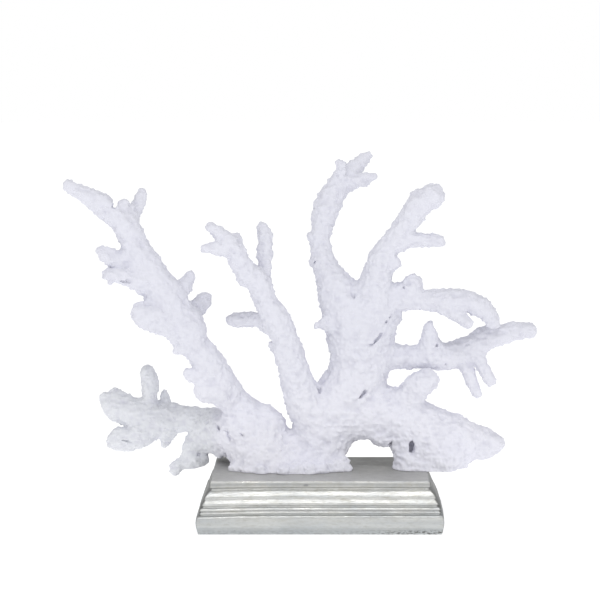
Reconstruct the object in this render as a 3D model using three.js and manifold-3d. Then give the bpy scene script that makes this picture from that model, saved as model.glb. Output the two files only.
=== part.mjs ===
// A branching coral fixed upright on a moulded rectangular stand.
// Millimetres, +Z up, +X to the right of a viewer in front, -Y towards that viewer.
// The origin is the centre of the stand's underside.
import * as THREE from 'three';
import { mergeVertices } from 'three/addons/utils/BufferGeometryUtils.js';
import Module from 'manifold-3d';

const wasm = await Module();
wasm.setup();

// The stand: its block's outer size, its whole height, and the clearance under the coral's feet.
const STAND_LENGTH = 205;
const STAND_DEPTH = 124;
const STAND_HEIGHT = 42.8;
const GAP = 0.3;

// The coral's front elevation is laid out as it is seen from this distance and height, in the plane
// through the stand's middle, and a point behind or before that plane keeps its line of sight.
const VIEW_DISTANCE = 1450;
const VIEW_HEIGHT = 345;

// The branches lean out of the trunk's own plane, this many times the depth written for them.
const TRUNK_DEPTH = 8;
const LEAN = 1.5;

// How far a limb's surface swells and dips, as a share of its radius.
const LUMPINESS = 0.045;

// Larger than the coral, for the half-spaces that part it at its forks.
const REACH = 700;

// Each section of the stand's moulding: the distance in from the block's outer face, and the height.
const MOULDING = [
  [2.2, 0],
  [0.5, 5.8],
  [0, 9.5],
  [0.4, 13.4],
  [1.4, 15.2],
  [3.8, 15.5],
  [3.8, 17.4],
  [2.4, 17.9],
  [2.4, 20.4],
  [3.6, 21.2],
  [5.2, 22],
  [5.6, 24],
  [5, 25.4],
  [4.6, 26.4],
  [5.2, 27.6],
  [6.4, 28.8],
  [5.8, 30.4],
  [6.4, 32],
  [7.6, 33.6],
  [9.4, 35.2],
  [11.4, 36.2],
  [11.4, 37.3],
  [10.6, 37.7],
  [10.6, 42.2],
  [11.2, STAND_HEIGHT],
];

// Each limb is a row of stations along its middle: across, up, depth behind the middle plane, radius.
// The coral parts at its forks, where a plane is given by a point on it and the way the branch leaves.
const CORAL = [
  {
    name: 'trunk',
    deep: 0.86,
    limbs: [
      [[-46.5, 34, 6, 27], [-49, 50, 7, 28], [-55, 66, 9, 27], [-61, 78, 8, 24]],
      [[-4, 34, 5, 27.6], [-1.5, 55, 8, 23.4], [5, 78, 10, 26.5], [18, 101, 9, 26],
        [30.6, 121, 8, 24.7], [34.2, 139, 7, 25.6], [34.8, 155, 6, 27.8], [35.5, 163, 6, 28]],
      [[46, 98, 8, 15], [46, 120, 8, 14], [47.2, 140, 7, 14.3], [48, 156, 6, 14.2],
        [50.4, 172, 5, 15.6]],
      [[50, 176, 5, 14], [60.2, 174.6, 5, 9.2]],
      [[-50, 62, 8, 22], [-46.4, 78.6, 6, 17.6]],
      [[-30, 36, 5, 26], [-28, 50, 7, 21], [-23, 61.2, 8, 15.2]],
      [[-46, 88, 4, 9], [-45.6, 93, 4, 5.4]],
      [[10, 43, 2, 11], [16.6, 46.4, 0, 8.6]],
      [[14, 92, 9, 25], [26, 91, 9, 23], [38, 90, 8, 21]],
      [[50, 80, 14, 12], [53.6, 74.8, 14, 12.7]],
      [[30, 138, 18, 14], [34, 145, 29, 9]],
      [[2, 84, 18, 14], [-5, 91, 28, 9]],
    ],
  },
  {
    name: 'left_arm',
    parent: 'trunk',
    fork: { at: [-77, 101.5, 5], way: [-0.62, 0, 0.78] },
    deep: 0.92,
    limbs: [
      [[-62, 82, 8, 19], [-72.4, 96.5, 6, 15], [-84.6, 110.7, 2, 17], [-92.6, 128.4, -2, 14.6],
        [-100.4, 143, -5, 12], [-108.6, 153, -7, 13.3], [-113.6, 163, -8, 16.8], [-122, 176, -9, 15],
        [-131, 191, -10, 15.5], [-140, 204, -11, 15], [-147, 215, -12, 14.2], [-153, 226, -13, 12.6],
        [-158.5, 239, -14, 10.8], [-163.5, 250, -15, 11], [-172, 259.4, -16, 10.6],
        [-183.5, 268.2, -17, 10.1], [-195.5, 275.5, -19, 7.3], [-204, 280.6, -20, 6],
        [-211.2, 284.8, -21, 5.2]],
      [[-164, 256, -14, 7], [-165, 262, -14, 6], [-165.3, 268.2, -14, 5.6]],
      [[-160.5, 252, -10, 7], [-156, 263, -7, 5.8], [-152, 272, -5, 5.1], [-150, 278.8, -4, 3.4]],
      [[-160, 256, -12, 6.4], [-159.8, 264.4, -11, 4.6]],
      [[-160, 223, -12, 10], [-171, 222.6, -16, 8], [-179, 225, -19, 7.2], [-185, 229.4, -21, 4.6]],
      [[-150, 205, -14, 11], [-162, 207.6, -18, 8], [-171, 208.4, -21, 6], [-178.5, 209.4, -22, 4.9]],
      [[-177, 206, -22, 3], [-177, 202, -22, 2.5]],
      [[-147, 200, -14, 7], [-152, 196, -15, 3.4]],
      [[-130, 194, -8, 10], [-118, 196.4, -6, 7.3], [-112.3, 204, -4, 5.4], [-110.3, 207.6, -3, 4.5]],
      [[-120, 174, -4, 10], [-106.6, 180, 3, 7.8], [-100.3, 185.3, 7, 7.6], [-97.5, 189.5, 8, 4.6]],
      [[-126, 170.6, -10, 13.6], [-138, 172.8, -14, 13.6], [-149, 175.6, -17, 10.9],
        [-155.5, 178.6, -19, 4.8]],
      [[-108, 150, -7, 10], [-117, 146.6, -10, 6], [-122.5, 143.6, -11, 2.8]],
      [[-97, 126, -4, 9], [-106, 123.6, -8, 6.6], [-111.5, 125, -10, 5]],
      [[-88, 112, -2, 13], [-98.5, 110, -6, 9.6]],
      [[-128, 187, -6, 9], [-124, 192, 7, 6.4]],
      [[-107, 152, -2, 8], [-104, 150, 9, 5.6]],
    ],
  },
  {
    name: 'lower_left_spray',
    parent: 'trunk',
    fork: { at: [-84, 75, 24], way: [-1, 0, 0] },
    deep: 0.95,
    limbs: [
      [[-56, 72, 18, 17], [-74, 73.5, 22, 19.6], [-88, 75, 26, 20.4], [-99, 82, 28, 13.5],
        [-110, 85.6, 30, 11.3], [-122, 85.4, 32, 11.8], [-133, 85, 33, 13.6], [-146, 87, 34, 14],
        [-158, 91.5, 35, 13.6], [-168, 94.2, 36, 12.8], [-175.6, 97.6, 37, 10.8],
        [-182.5, 103.6, 38, 5.4]],
      [[-168, 98, 36, 10], [-174.6, 107.4, 37, 5.6]],
      [[-146, 90, 34, 10], [-144.6, 104, 33, 7.2], [-145.2, 118, 32, 7.9], [-146.4, 127, 31, 5.6]],
      [[-133, 92, 36, 8], [-132.4, 101, 37, 5], [-132.4, 109, 37, 2.6]],
      [[-122, 90, 33, 8], [-124.6, 94.6, 33, 5.4]],
      [[-140, 82, 33, 12], [-150, 74.6, 32, 12], [-162, 69, 31, 11], [-171, 68, 30, 10.2],
        [-175.5, 66.6, 30, 7.4]],
      [[-130, 78, 33, 9.6], [-131.4, 71.6, 33, 6.4], [-132.4, 66, 33, 4.8]],
      [[-94, 74, 27, 13], [-104, 66, 26, 11.6], [-107.6, 60, 26, 11], [-108.6, 54, 25, 10]],
      [[-101.6, 51.4, 25, 7], [-109, 50.4, 25, 7.8], [-117.5, 48, 24, 6.2], [-124, 45, 23, 4.6]],
      [[-121, 45.6, 23, 4.8], [-124, 40, 23, 3.8]],
    ],
  },
  {
    name: 'centre_left_branch',
    parent: 'trunk',
    fork: { at: [-20, 119.5, -2], way: [-0.22, 0, 0.97] },
    deep: 1,
    limbs: [
      [[0, 78, 6, 17], [-10.4, 96, 4, 17.6], [-18.4, 114, 0, 14.4], [-22.8, 130, -4, 12.4],
        [-27, 144, -7, 12.6], [-29.8, 156, -9, 11], [-36.2, 170, -11, 11.6], [-44.8, 184, -13, 10],
        [-48.8, 195, -15, 9.8], [-53.4, 204, -17, 9.8], [-61.6, 211.2, -20, 9],
        [-67.6, 220.2, -22, 8.4], [-71.6, 229, -24, 8.6], [-77, 236, -25, 8.4], [-84, 243.4, -26, 6],
        [-91.6, 249, -27, 4.8]],
      [[-77, 232, -25, 8], [-87, 231.6, -28, 5.8], [-96.8, 232.4, -30, 4.2]],
      [[-72, 234, -23, 6.4], [-70.6, 241, -22, 4.3]],
      [[-48.4, 200, -14, 7.2], [-47.2, 214, -12, 5.8], [-46.4, 230, -10, 6.4], [-46.7, 242, -8, 6.4],
        [-48.4, 248.8, -7, 5.5]],
      [[-44, 225.6, -10, 4], [-40.9, 225.6, -10, 3]],
      [[-37, 166, -10, 10], [-52, 171, -6, 6.7], [-67, 170.9, -3, 5.9], [-74.6, 170.8, -2, 5.2]],
      [[-34, 148, -8, 7], [-41.4, 149.4, -9, 2.7]],
      [[-57, 208, -18, 9], [-62.4, 205.4, -19, 6.6]],
      [[-28, 146, -2, 7], [-26, 150, 7, 5]],
    ],
  },
  {
    name: 'tall_branch',
    parent: 'trunk',
    fork: { at: [9.5, 208, 4], way: [-0.4, 0, 0.92] },
    deep: 1,
    limbs: [
      [[30, 166, 6, 25], [22, 182, 5, 21], [15, 195, 4, 16.8], [9.9, 205, 4, 13.6], [6.3, 213, 5, 11.3],
        [2, 225, 7, 9.7], [0.6, 240, 9, 8.8], [2.8, 255, 11, 9.8], [6.4, 268, 13, 11],
        [13.4, 280.3, 15, 10.3], [20, 289.6, 17, 9.6], [27, 297, 19, 7.4], [33.6, 304, 21, 5.4],
        [39.4, 309, 22, 3.8]],
      [[19.6, 290, 16, 7], [17.8, 299, 12, 4.8], [17.5, 303.4, 11, 4.5]],
      [[25, 288, 16, 8], [35.6, 289.6, 12, 5.5], [44.6, 292, 9, 3.5]],
      [[0, 220.6, 6, 7], [-4.7, 220.6, 5, 4.6]],
      [[-2, 242.6, 9, 7], [-5, 241.6, 8, 4.6]],
      [[-1, 257, 11, 6], [-5.2, 257, 10, 3.4]],
      [[1, 268.6, 13, 6], [-2.6, 268.6, 12, 3.2]],
      [[3, 252, 15, 6.5], [6, 257, 22, 4.6]],
      [[16, 168.6, 2, 9], [6, 167, -2, 5], [-0.6, 166.2, -4, 3.4]],
    ],
  },
  {
    name: 'centre_right_branch',
    parent: 'trunk',
    fork: { at: [47.5, 208, -1], way: [0.3, 0, 0.95] },
    deep: 1,
    limbs: [
      [[38, 164, 4, 22], [44, 184, 2, 19], [46.8, 200, 0, 15], [49.4, 212, -2, 12.6],
        [52, 222, -3, 11.4], [57.9, 233.8, -4, 9.5], [67.2, 245.7, -6, 9.3], [75.6, 255.7, -7, 9.8],
        [80.4, 264.4, -8, 10.6], [87, 271, -9, 10.4], [94.2, 275.7, -10, 10.8]],
      [[81, 267, -8, 8], [80.4, 274.8, -8, 5.3]],
      [[65, 238, -4, 9.4], [80, 239, -6, 6.8], [93, 239, -7, 6.1], [101.6, 237.6, -8, 4.4]],
      [[56, 217, -3, 8], [62.6, 219.6, -5, 6]],
      [[62, 241, 2, 7], [66, 247, 9, 5]],
    ],
  },
  {
    name: 'upper_right_branch',
    parent: 'trunk',
    fork: { at: [70, 189, 1], way: [1, 0, 0] },
    deep: 1,
    limbs: [
      [[42, 180, 4, 19], [54, 187, 3, 13.8], [66, 190.5, 2, 12.4], [78, 188.8, 0, 10],
        [91, 187.8, -2, 8.8], [105, 187, -4, 10], [118, 187.6, -5, 9.6], [129, 185.6, -5, 9.2],
        [138, 180.4, -4, 8.2], [145, 173.4, -1, 6.6], [147.6, 168, 1, 4.8]],
      [[74, 192, -1, 10], [78.9, 201.4, -2, 8.1]],
      [[108, 181.4, -5, 8.1], [116.8, 175.6, -8, 6.1], [125, 168.6, -11, 4.7]],
    ],
  },
  {
    name: 'middle_right_branch',
    parent: 'trunk',
    fork: { at: [67, 139, 8], way: [1, 0, 0] },
    deep: 1,
    limbs: [
      [[38, 138, 6, 20], [54, 139, 7, 12], [72, 139.2, 8, 9.8], [90, 139.4, 8, 9.9],
        [104, 139.3, 8, 11.3], [118, 142, 9, 11.6], [130, 148, 9, 11], [141, 155.6, 10, 10.6],
        [152, 158.2, 10, 8.9], [165, 161.4, 11, 7.4], [178.2, 161.5, 12, 6.8]],
      [[94.4, 143, 6, 12.8], [93.3, 152, 3, 8.9], [92.4, 162, 1, 5.2], [92.3, 167, 0, 3]],
      [[122.6, 136, 9, 7.6], [127, 123.6, 7, 5.6], [131.6, 113, 5, 4.7], [133.8, 108.4, 4, 4.2]],
      [[130, 145, 7, 8.6], [137.6, 131.6, 4, 5.4], [145.2, 119, 2, 5.1]],
    ],
  },
  {
    name: 'right_lobe',
    parent: 'trunk',
    fork: { at: [61, 90, 8], way: [1, 0, 0] },
    deep: 0.8,
    limbs: [
      [[42, 92, 8, 20], [58, 92, 8, 21.5], [75, 84, 8, 23], [90, 74, 7, 27.6], [101, 67.6, 6, 26.2],
        [111, 66.2, 6, 24.4], [121, 66, 6, 19.6], [130, 65.6, 6, 15.6], [138, 64.8, 6, 14.2],
        [147, 64.4, 6, 10], [151, 64, 6, 7]],
      [[79, 34, 3, 15.4], [79, 55, 4, 15.8], [77, 78, 7, 18]],
      [[88, 46, 0, 11], [100, 49, -2, 9.9], [111, 50.4, -4, 9], [118, 53, -4, 7.4]],
      [[90, 36, 8, 9], [92, 50, 8, 12]],
      [[74, 78, 12, 14], [66.8, 73.4, 12, 13.4]],
      [[104, 66, 16, 13], [108, 72, 24, 8.4]],
    ],
  },
  {
    name: 'right_stub',
    parent: 'right_lobe',
    fork: { at: [76, 109.5, 1], way: [0.84, 0, 0.54] },
    deep: 1,
    limbs: [
      [[74, 103, 4, 12], [82.6, 113.6, 0, 11.2], [90.3, 119, -2, 9.9], [95.8, 117.4, -2, 5]],
    ],
  },
];

// The slits between fused limbs, open to the front: the middle, half-sizes and the tilt in degrees.
const SLITS = [
  { node: 'trunk', at: [48, 154, -8.6], half: [6.6, 7, 2.2], tilt: 43 },
  { node: 'trunk', at: [36.4, 106.4, -5.4], half: [5, 7, 2.1], tilt: 48 },
  { node: 'right_lobe', at: [78.4, 62.4, -3.4], half: [2.9, 7, 5.8], tilt: 6 },
];

// A place on the front elevation, moved along its line of sight to its depth.
function place(x, z, y) {
  const depth = TRUNK_DEPTH + LEAN * (y - TRUNK_DEPTH);
  const farther = 1 + depth / VIEW_DISTANCE;
  return new THREE.Vector3(x * farther, depth, VIEW_HEIGHT + (z - VIEW_HEIGHT) * farther);
}

// A geometry as a closed solid that can be joined and cut.
function solidOf(geometry) {
  geometry.deleteAttribute('normal');
  geometry.deleteAttribute('uv');
  const welded = mergeVertices(geometry, 1e-4);
  const corners = welded.index.array;
  const kept = [];
  for (let i = 0; i < corners.length; i += 3) {
    const [a, b, c] = corners.slice(i, i + 3);
    if (a !== b && b !== c && c !== a) kept.push(a, b, c);
  }
  const vertProperties = new Float32Array(welded.attributes.position.array);
  return new wasm.Manifold(new wasm.Mesh({ numProp: 3, vertProperties, triVerts: new Uint32Array(kept) }));
}

// The swelling of the surface at a place, between about -1 and 1.
function swelling(p) {
  const broad = Math.sin(0.29 * p.x + 0.13 * p.y + 1.7) * Math.sin(0.26 * p.z - 0.19 * p.y + 0.4);
  const tight = Math.sin(0.52 * p.x - 0.47 * p.z + 0.61 * p.y);
  return 0.65 * broad + 0.35 * tight;
}

// The sections of a limb: the share of its length, the distance past its end, the share of its radius.
function sectionsOf(stations) {
  const sections = [];
  const spans = stations.length - 1;
  const first = stations[0][3];
  const last = stations[spans][3];
  for (const angle of [90, 45]) {
    const turn = THREE.MathUtils.degToRad(angle);
    sections.push({ t: 0, past: -0.8 * first * Math.sin(turn), share: Math.cos(turn) });
  }
  for (let i = 0; i < spans; i += 1) {
    const [x0, z0, y0, r0] = stations[i];
    const [x1, z1, y1, r1] = stations[i + 1];
    const long = Math.hypot(x1 - x0, z1 - z0, y1 - y0);
    const steps = Math.max(1, Math.round(long / Math.max(10, 0.7 * (r0 + r1))));
    for (let k = 0; k < steps; k += 1) {
      sections.push({ t: (i + k / steps) / spans, past: 0, share: 1 });
    }
  }
  for (const angle of [0, 45, 90]) {
    const turn = THREE.MathUtils.degToRad(angle);
    sections.push({ t: 1, past: last * Math.sin(turn), share: Math.cos(turn) });
  }
  sections[0].share = 0;
  sections[sections.length - 1].share = 0;
  return sections;
}

// A limb: a turned profile bent along the smooth line through its stations, swelling as it goes.
function limb(stations, deep, grow) {
  const middle = stations.map(([x, z, y]) => place(x, z, y));
  const line = new THREE.CatmullRomCurve3(middle, false, 'centripetal');
  const radii = stations.map((station) => new THREE.Vector3(station[3], 0, 0));
  const girth = new THREE.CatmullRomCurve3(radii, false, 'catmullrom', 0.5);
  const sections = sectionsOf(stations);
  const widest = Math.max(...stations.map((station) => station[3]));
  const sides = widest > 15 ? 9 : widest > 9.9 ? 8 : widest > 8 ? 7 : 6;
  const straddle = 2 / (1 + Math.cos(Math.PI / sides));
  const profile = sections.map((section, i) => new THREE.Vector2(section.share, i));
  const turned = new THREE.LatheGeometry(profile, sides);
  const position = turned.getAttribute('position');
  const depthwise = new THREE.Vector3(0, 1, 0);
  for (let i = 0; i < position.count; i += 1) {
    const { t, past } = sections[Math.round(position.getY(i))];
    const along = line.getTangent(t);
    const across = new THREE.Vector3().crossVectors(along, depthwise).normalize();
    const behind = new THREE.Vector3().crossVectors(across, along);
    const radius = girth.getPoint(t).x * straddle + grow;
    const centre = line.getPoint(t).addScaledVector(along, past + Math.sign(past) * grow);
    const out = across.multiplyScalar(position.getX(i) * radius);
    out.addScaledVector(behind, position.getZ(i) * radius * deep);
    const swell = 1 + LUMPINESS * swelling(centre.clone().add(out));
    const at = centre.addScaledVector(out, swell);
    position.setXYZ(i, at.x, at.y, at.z);
  }
  return solidOf(turned);
}

function joined(limbs, deep, grow) {
  return limbs.map((stations) => limb(stations, deep, grow)).reduce((whole, next) => whole.add(next));
}

// Everything on the far side of a plane, along the way it faces.
function beyond(at, way, shift) {
  const facing = new THREE.Vector3(...way).normalize();
  const box = new THREE.BoxGeometry(REACH, REACH, REACH).translate(0, 0, REACH / 2);
  box.applyQuaternion(new THREE.Quaternion().setFromUnitVectors(new THREE.Vector3(0, 0, 1), facing));
  const corner = place(...at).addScaledVector(facing, shift);
  return solidOf(box.translate(corner.x, corner.y, corner.z));
}

// The moulded stand: its section carried round the rectangle, mitred at the corners.
function stand() {
  const profile = MOULDING.map((section, i) => new THREE.Vector2(1, i));
  profile.unshift(new THREE.Vector2(0, 0));
  profile.push(new THREE.Vector2(0, MOULDING.length - 1));
  const turned = new THREE.LatheGeometry(profile, 4, Math.PI / 4);
  const position = turned.getAttribute('position');
  for (let i = 0; i < position.count; i += 1) {
    const [inset, height] = MOULDING[Math.round(position.getY(i))];
    const x = Math.sign(Math.round(position.getX(i) * 2)) * (STAND_LENGTH / 2 - inset);
    const y = Math.sign(Math.round(position.getZ(i) * 2)) * (STAND_DEPTH / 2 - inset);
    position.setXYZ(i, x, -y, height);
  }
  return solidOf(turned);
}

// A slit: a thin rounded hollow, tilted in the front elevation.
function slit({ at, half, tilt }) {
  const hollow = new THREE.SphereGeometry(1, 7, 5).scale(...half);
  hollow.rotateY(-THREE.MathUtils.degToRad(tilt));
  const middle = place(...at);
  return solidOf(hollow.translate(middle.x, middle.y, middle.z));
}

// Every branch keeps what lies past its fork, and its root stays with the limb it grows from.
const solids = new Map();
const clearances = [];
for (const { name, parent, fork, deep, limbs } of CORAL) {
  let grown = joined(limbs, deep, 0);
  if (fork) {
    const root = grown.subtract(beyond(fork.at, fork.way, -GAP / 2));
    solids.set(parent, solids.get(parent).add(root));
    const back = fork.way.map((part) => -part);
    grown = grown.subtract(beyond(fork.at, back, -GAP / 2));
  }
  for (const earlier of clearances) grown = grown.subtract(earlier);
  clearances.push(joined(limbs, deep, GAP));
  solids.set(name, grown);
}

// The feet rest on the stand.
const feet = STAND_HEIGHT + GAP;
for (const name of ['trunk', 'right_lobe']) {
  const below = new THREE.BoxGeometry(REACH, REACH, REACH).translate(0, 0, feet - REACH / 2);
  solids.set(name, solids.get(name).subtract(solidOf(below)));
}
for (const hollow of SLITS) {
  solids.set(hollow.node, solids.get(hollow.node).subtract(slit(hollow)));
}

const CORAL_LOOK = new THREE.MeshStandardMaterial({ name: 'coral', color: 0xe4e3ea, roughness: 0.9 });
const STAND_LOOK = new THREE.MeshStandardMaterial({ name: 'stand', color: 0xb9b7ae, roughness: 0.4 });

// A solid as a named mesh.
function meshOf(name, solid, material) {
  const { vertProperties, triVerts } = solid.getMesh();
  const geometry = new THREE.BufferGeometry();
  geometry.setAttribute('position', new THREE.BufferAttribute(vertProperties, 3));
  geometry.setIndex(new THREE.BufferAttribute(triVerts, 1));
  geometry.computeVertexNormals();
  const mesh = new THREE.Mesh(geometry, material);
  mesh.name = name;
  return mesh;
}

const part = new THREE.Group();
part.add(meshOf('stand', stand(), STAND_LOOK));
for (const [name, solid] of solids) part.add(meshOf(name, solid, CORAL_LOOK));

export default part;
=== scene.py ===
# A branching coral, bleached white, fixed upright on a rectangular stand with a stepped silver moulding.
import math

import bpy
import numpy as np
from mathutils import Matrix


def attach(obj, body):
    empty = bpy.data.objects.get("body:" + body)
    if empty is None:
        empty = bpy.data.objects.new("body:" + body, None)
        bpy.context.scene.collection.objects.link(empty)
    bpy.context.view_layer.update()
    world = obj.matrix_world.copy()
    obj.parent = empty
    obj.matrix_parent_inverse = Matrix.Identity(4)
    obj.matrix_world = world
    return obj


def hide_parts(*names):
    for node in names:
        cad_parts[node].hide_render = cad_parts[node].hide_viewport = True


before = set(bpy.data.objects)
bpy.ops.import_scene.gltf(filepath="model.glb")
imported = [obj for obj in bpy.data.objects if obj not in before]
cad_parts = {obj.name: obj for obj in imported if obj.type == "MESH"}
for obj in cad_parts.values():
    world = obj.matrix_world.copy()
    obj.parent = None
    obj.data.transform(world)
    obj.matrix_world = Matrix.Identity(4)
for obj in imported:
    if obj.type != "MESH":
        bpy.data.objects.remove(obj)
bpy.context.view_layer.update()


# The stand: a block of wood with a moulding run round all four sides, mitred at the corners and laid with
# pale silver leaf. The leaf is rubbed back along the arrises, dull with patina in the grooves, duller on
# the flat top and the ends, and worn through in specks along the lower edge. Its colour also carries
# painted shade on the flat faces and the ends, a painted dark reflection on the flat top that lightens
# towards the front, and a painted bluish reflection low down.
STAND_HALF = np.array([102.5, 62.0])  # mm
STAND_HEIGHT = 42.8
STAND_CORNER = 1.3  # mm, the radius of the worn mitres
CORNER_POINTS = 6
STAND_RUNS = (70, 110, 70, 110)  # points along the right end, the back, the left end and the front
STAND_SECTION = (  # mm in from the block's face, mm up
    (1.8, 0), (0.4, 5.8), (0, 9.5), (0.3, 13.8), (0.8, 15.2), (1.7, 16), (3.2, 16.3), (3.3, 17),
    (2.8, 17.4), (2.8, 18.4), (3.3, 19), (3.6, 19.2), (3.6, 19.7), (2.8, 20.1), (2.6, 21), (3.6, 22.2),
    (5.1, 22.7), (5.2, 23.3), (4.8, 24), (4.6, 24.6), (4.8, 25.5), (5.9, 27), (6.6, 28), (6.8, 28.5),
    (6.6, 29), (6.4, 29.4), (6.6, 30.3), (7, 31.3), (8.4, 33.2), (9.4, 34.4), (10.2, 35.1), (11.6, 36.1),
    (11.6, 37.4), (10.6, 37.8), (10.6, 38.8), (10.6, 39.8), (10.6, 41.6), (10.9, 42.2), (11.4, 42.6),
    (12.2, STAND_HEIGHT))
END_INSET = np.array([1.04, 1.0])  # the moulding's insets are this much deeper at the block's ends
SWAY, SWAY_SIZE = 0.15, 17  # mm, how far the hand-run moulding wavers, and over what length
TREMOR, TREMOR_SIZE = 0.07, 5.5  # mm, the same for a shorter waver
SWAY_FLAT = 2.2  # the wavers are this much shorter upwards than along the moulding
FASCIA_TOP, FASCIA_EASE = 11, 4  # mm, the drop and the bow come in above this height, over that much
END_DROP, DROP_FADE = 1.0, 6  # mm, how far the left end's moulding falls, and its easing below the top
DROP_FROM, DROP_RUN = -25, -65  # mm, where the fall starts, and over what length it comes in
END_BOW, BOW_FADE = (0.5, 1.9), 16  # mm, how far the left and right ends bow out half way back
NICK_AT, NICK_SIZE, NICK_DEEP = (-11.7, 39.3), (2.9, 1.1), 0.7  # mm, a knock in the front's top fillet
NICK_DULL = 1.4
PATINA_AND_SHADE = (  # mm up, how dull the leaf is there: patina and painted shade, in the grooves and on the flat faces
    (0, 0.65), (5.4, 0.55), (6.2, 0.18), (9, 0.26), (12, 0.32), (15.4, 0.2), (16.3, 0.35), (17, 0.4),
    (17.5, 0.05), (18.4, 0), (19.1, 0.3), (19.7, 0.25), (20.2, 0), (21.5, 0), (22.6, 0.05), (23.4, 0.1),
    (24.4, 0), (28.4, 0), (34.6, 0), (35.6, 0.3), (37, 0.5), (37.6, 0.5), (38, 0.35), (40, 0.7), (41, 0.5),
    (42, 0))
END_DULL_AND_SHADE, CORNER_DULL_AND_SHADE = 0.3, 0.8  # painted shade and dullness on the ends at their middles, and how much more at a corner
# Painted shade on the ends' colour, at their middles and how much more at a corner.
END_SHADE_MIDDLE, END_SHADE_CORNER = 0.4, 0.5
END_SHADE_FOOT, END_SHADE_EASE = 15, 4  # mm, the ends' painted shade starts above this height, over that much
LEAF_TOP = (STAND_HEIGHT - 0.1, STAND_HEIGHT)  # mm up, where the flat top's duller finish and painted dark reflection come in
BLUE_REFLECTION_RISE = (28, 2)  # mm up, from the warm leaf down to a painted bluish reflection
TOP_REFLECTION_FADE = (45, -55)  # mm back, the top's painted reflection, from dark at the back to lighter at the front
WORN_EDGE = (4.5, 2.2)  # mm up, where the lower edge wears through
WORN_RIGHT = (30, 90)  # mm across, where it is worn the most
SILVER = (0.67, 0.665, 0.63, 1)
SILVER_COOL = (0.53, 0.542, 0.545, 1)
# Patina and painted shade in the grooves, on the flat faces and on the ends.
SILVER_DULL = (0.27, 0.279, 0.282, 1)
SILVER_UMBER = (0.36, 0.345, 0.295, 1)
# A painted bluish reflection for the lower mouldings.
SILVER_BLUE_REFLECTION = (0.44, 0.49, 0.535, 1)
# Painted shade for the ends.
END_SHADE_COLOUR = (0.13, 0.13, 0.122, 1)
# The flat top: a painted dark reflection, and its lighter front.
TOP_DARK_REFLECTION = (0.24, 0.24, 0.23, 1)
TOP_FRONT_REFLECTION = (0.62, 0.618, 0.60, 1)
BARE_EDGE = (0.10, 0.10, 0.095, 1)
BUMP_DEPTH = 0.0006  # m


def rising(value, start, run):
    """0 up to the start, 1 from a run beyond it, and a straight rise between; a run below 0 goes down."""
    return np.clip((value - start) / run, 0, 1)


def scatter(cube, seed):
    """A number from 0 to 1 for each whole-numbered cube, from its three counts multiplied and stirred."""
    key = cube[..., 0] * 73856093 ^ cube[..., 1] * 19349663 ^ cube[..., 2] * 83492791 ^ seed * 2654435
    key = (key ^ key >> 13) * 1274126177 & 0x7FFFFFFF
    return (key ^ key >> 16) / 0x7FFFFFFF


def ripple(points, size, seed):
    """Smooth noise from -1 to 1: a number at each corner of cubes of that size, eased between corners."""
    where = points / size
    cube = np.floor(where).astype(np.int64)
    ease = (where - cube) ** 2 * (3 - 2 * (where - cube))
    total = np.zeros(len(points))
    for corner in np.ndindex(2, 2, 2):
        share = np.prod(np.where(np.array(corner) == 1, ease, 1 - ease), axis=1)
        total += share * scatter(cube + np.array(corner), seed)
    return 2 * total - 1


def eased(section, rounds=2, most=0.5):
    """Corner cutting: each straight loses a quarter of its length at both ends, or at most that many mm."""
    line = np.asarray(section, float)
    for _ in range(rounds):
        step = np.diff(line, axis=0)
        cut = np.minimum(0.25, most / np.linalg.norm(step, axis=1))[:, None]
        inner = np.stack([line[:-1] + cut * step, line[1:] - cut * step], axis=1).reshape(-1, 2)
        line = np.vstack([line[:1], inner, line[-1:]])
    return line


def moulded_block(section, half, corner, runs):
    """The section carried round a rectangle. A point's place is the inset rectangle's corner, less the
    corner's radius, plus that radius along the way it faces; along a side it slides between two corners.
    Gives the points by row and column, the ways the columns face, the sides, the underside and the top."""
    signs, ways = [], []
    corners = np.array([(1, -1), (1, 1), (-1, 1), (-1, -1)], float)
    for k in range(4):
        angle = (np.linspace(0, 1, CORNER_POINTS) + k - 1) * math.pi / 2
        way = np.stack([np.cos(angle), np.sin(angle)], axis=1)
        slide = np.linspace(0, 1, runs[k])[1:-1, None]
        signs.append(np.repeat(corners[k : k + 1], CORNER_POINTS, axis=0))
        signs.append(corners[k] + slide * (corners[k - 3] - corners[k]))
        ways += [way, np.repeat(way[-1:], runs[k] - 2, axis=0)]
    signs, ways = np.vstack(signs), np.vstack(ways)
    inset, height = section[:, 0], section[:, 1]
    flat = signs[None] * (half - corner - inset[:, None] * END_INSET)[:, None] + ways[None] * corner
    points = np.concatenate([flat, np.repeat(height[:, None, None], len(signs), axis=1)], axis=2)
    index = np.arange(len(inset) * len(signs)).reshape(len(inset), -1)
    after = np.roll(index, -1, axis=1)
    sides = np.stack([index[:-1], after[:-1], after[1:], index[1:]], axis=2).reshape(-1, 4)
    return points, ways, sides, index[:1, ::-1], index[-1:]


def hand_run(points, ways, height):
    """The moulding as a hand runs it. It wavers along the way it faces by two sizes of ripple. Above the
    fascia its ends bow out, by 1 less the square of the way from half way back, and it drops towards its
    left end by the square of the way there; both fade out below the top."""
    out = np.concatenate([ways, np.zeros((len(ways), 1))], axis=1)
    spots = points.reshape(-1, 3) * (1, 1, SWAY_FLAT)
    sway = SWAY * ripple(spots, SWAY_SIZE, 3) + TREMOR * ripple(spots, TREMOR_SIZE, 4)
    points = points + sway.reshape(len(height), -1, 1) * out[None]
    above = rising(height, FASCIA_TOP, FASCIA_EASE)
    bow = (above * rising(height, height[-1], -BOW_FADE))[:, None]
    bow = bow * (1 - (points[..., 1] / STAND_HALF[1]) ** 2)
    points[..., 0] += bow * ways[:, 0] * np.where(ways[:, 0] < 0, *END_BOW)
    drop = (above * rising(height, height[-1], -DROP_FADE))[:, None]
    points[..., 2] -= END_DROP * drop * rising(points[..., 0], DROP_FROM, DROP_RUN) ** 2
    return points.reshape(-1, 3)


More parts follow.
